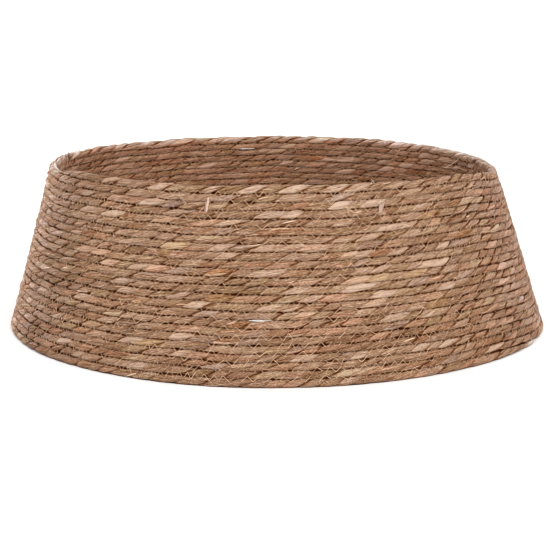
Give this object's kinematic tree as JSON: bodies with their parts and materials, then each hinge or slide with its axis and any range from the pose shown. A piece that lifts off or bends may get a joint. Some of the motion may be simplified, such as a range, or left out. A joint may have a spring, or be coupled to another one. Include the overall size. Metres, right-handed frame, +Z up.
{
  "type": "christmas tree skirt",
  "caption": "Round open-ended tree collar of coiled, twisted seagrass rope with zigzag stitching, a cut-off cone that stands on the floor around a tree stand.",
  "frame": {"origin": "centre of the base's outline, on the floor", "axes": "+Z up through the opening, -Y is the front that the picture shows, +X is to its right"},
  "size_m": [0.5747, 0.5995, 0.1823],
  "materials": {
    "seagrass_rope": "matte twisted seagrass, tan to brown with straw-coloured and greenish blades",
    "stitch_thread": "golden tan polyester thread, slight sheen",
    "blade_strip": "flat dried blade, matte"
  },
  "bodies": {
    "root": {"rope_course_01": "seagrass_rope", "rope_course_02": "seagrass_rope", "rope_course_03": "seagrass_rope", "rope_course_04": "seagrass_rope", "rope_course_05": "seagrass_rope", "rope_course_06": "seagrass_rope", "rope_course_07": "seagrass_rope", "rope_course_08": "seagrass_rope", "rope_course_09": "seagrass_rope", "rope_course_10": "seagrass_rope", "rope_course_11": "seagrass_rope", "rope_course_12": "seagrass_rope", "rope_course_13": "seagrass_rope", "rope_course_14": "seagrass_rope", "rope_course_15": "seagrass_rope", "rope_course_16": "seagrass_rope", "rope_course_17": "seagrass_rope", "rope_course_18": "seagrass_rope", "rope_course_19": "seagrass_rope", "rope_course_20": "seagrass_rope", "rope_course_21": "seagrass_rope", "rope_course_22": "seagrass_rope", "rope_course_23_front": "seagrass_rope", "rope_course_23_back": "seagrass_rope", "rope_course_24": "seagrass_rope", "rope_start_tail": "seagrass_rope", "rope_end_tail": "seagrass_rope", "stitch_row_01": "stitch_thread", "stitch_row_02": "stitch_thread", "stitch_row_03": "stitch_thread", "stitch_row_04": "stitch_thread", "stitch_row_05": "stitch_thread", "stitch_row_06": "stitch_thread", "stitch_row_07": "stitch_thread", "stitch_row_08": "stitch_thread", "stitch_row_09": "stitch_thread", "stitch_row_10": "stitch_thread", "stitch_row_11": "stitch_thread", "stitch_row_12": "stitch_thread", "stitch_row_13": "stitch_thread", "stitch_row_14": "stitch_thread", "stitch_row_15": "stitch_thread", "stitch_row_16": "stitch_thread", "stitch_row_17": "stitch_thread", "stitch_row_18": "stitch_thread", "stitch_row_19": "stitch_thread", "stitch_row_20": "stitch_thread", "stitch_row_21": "stitch_thread", "stitch_row_22": "stitch_thread", "stitch_row_23": "stitch_thread", "blade_strip_1": "blade_strip", "blade_strip_2": "blade_strip"}
  },
  "joints": []
}
